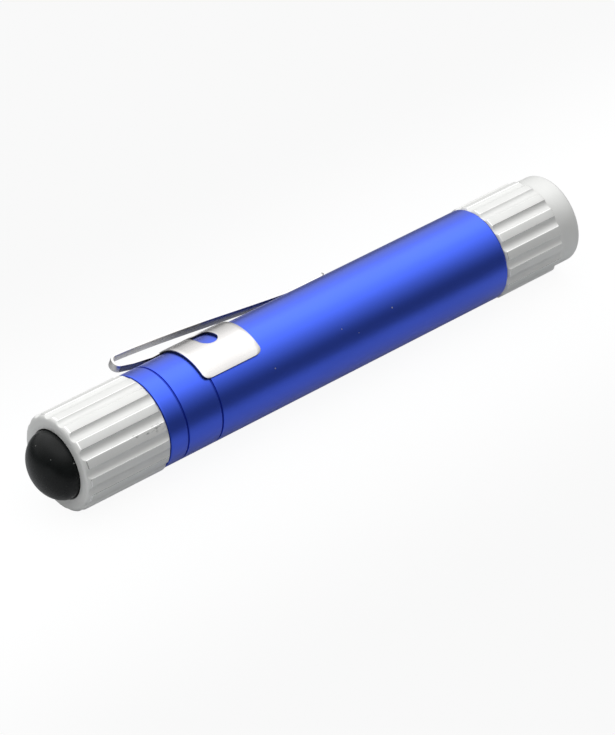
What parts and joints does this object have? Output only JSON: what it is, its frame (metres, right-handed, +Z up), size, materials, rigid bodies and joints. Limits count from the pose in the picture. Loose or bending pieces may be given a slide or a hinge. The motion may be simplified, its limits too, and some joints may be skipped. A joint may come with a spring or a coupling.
{
  "type": "penlight",
  "caption": "Pen-sized torch with a blue barrel, fluted aluminium tail cap and head, a black rubber tail button and a sprung steel pocket clip on a saddle.",
  "frame": {"origin": "on the light's axis at the shoulder behind the plain nose ring, where a pushed-on accessory would seat", "axes": "+X along the light's axis towards the beam, +Z up as the light lies on a table, +Y to the side that the pocket clip leans towards"},
  "size_m": [0.0944, 0.017, 0.0147],
  "materials": {
    "blue_anodised": "satin blue anodised",
    "satin_aluminium": "fine turned satin, clear anodised",
    "clip_steel": "bright rolled spring steel",
    "button_rubber": "soft black silicone rubber",
    "seal_rubber": "black nitrile rubber",
    "housing_plastic": "moulded black acetal",
    "plunger_plastic": "moulded natural acetal",
    "contact_brass": "stamped brass",
    "pill_brass": "turned brass",
    "spring_steel": "drawn spring wire",
    "board_green": "green solder mask",
    "board_white": "white solder mask",
    "lead_insulation": "red insulation",
    "cell_sleeve": "plain grey shrink sleeve",
    "cell_paper": "plain fibre washer",
    "cell_nickel": "nickel plated",
    "led_phosphor": "phosphor filled package",
    "led_silicone": "clear moulded dome",
    "reflector_metal": "bright metallised bowl",
    "lens_clear": "polished clear acrylic"
  },
  "bodies": {
    "barrel_unit": {"barrel": "blue_anodised", "tail_o_ring": "seal_rubber", "head_o_ring": "seal_rubber", "cell_can": "cell_sleeve", "cell_washer": "cell_paper", "cell_positive_nub": "cell_nickel", "cell_spring": "contact_brass", "led_pill": "pill_brass", "driver_board": "board_green", "led_leads": "lead_insulation", "led_board": "board_white", "led_package": "led_phosphor", "led_dome": "led_silicone"},
    "switch_unit": {"switch_housing": "housing_plastic", "switch_board": "board_green", "switch_spring": "spring_steel", "tail_spring": "spring_steel"},
    "tail_cap_unit": {"tail_cap": "satin_aluminium", "switch_ring": "pill_brass"},
    "button": {"button_boot": "button_rubber", "switch_plunger": "plunger_plastic", "contact_disc": "contact_brass"},
    "optics_unit": {"reflector": "reflector_metal", "lens": "lens_clear", "lens_seal": "seal_rubber"},
    "head_unit": {"head_shell": "satin_aluminium"},
    "clip": {"clip_saddle": "clip_steel"},
    "clip_spring": {"clip_arm": "clip_steel"}
  },
  "joints": [
    {"name": "tail_draw", "type": "slide", "parent": "barrel_unit", "child": "switch_unit", "axis": [-1, 0, 0], "range_m": [0, 0.0044]},
    {"name": "tail_turn", "type": "hinge", "parent": "switch_unit", "child": "tail_cap_unit", "pos_m": [-0.0726, 0, 0], "axis": [-1, 0, 0], "range_deg": [0, 1980]},
    {"name": "button_press", "type": "slide", "parent": "switch_unit", "child": "button", "axis": [1, 0, 0], "range_m": [0, 0.0012], "stiffness_N_per_m": 1500, "springref_m": -0.0005, "deforming": ["switch_spring"]},
    {"name": "head_draw", "type": "slide", "parent": "barrel_unit", "child": "optics_unit", "axis": [1, 0, 0], "range_m": [0, 0.0044]},
    {"name": "head_turn", "type": "hinge", "parent": "optics_unit", "child": "head_unit", "pos_m": [-0.0107, 0, 0], "axis": [1, 0, 0], "range_deg": [0, 1980]},
    {"name": "clip_turn", "type": "hinge", "parent": "barrel_unit", "child": "clip", "pos_m": [-0.0595, 0, 0], "axis": [1, 0, 0], "continuous": true},
    {"name": "clip_flex", "type": "hinge", "parent": "clip", "child": "clip_spring", "pos_m": [-0.06981, 0.00763, 0.00343], "axis": [0, -0.4099, 0.9121], "range_deg": [0, 5], "stiffness_Nm_per_rad": 0.4, "springref_deg": -1.15}
  ],
  "couplings": [
    {"joint": "tail_turn", "follows": "tail_draw", "rad_per_m": 7854},
    {"joint": "head_turn", "follows": "head_draw", "rad_per_m": 7854}
  ]
}
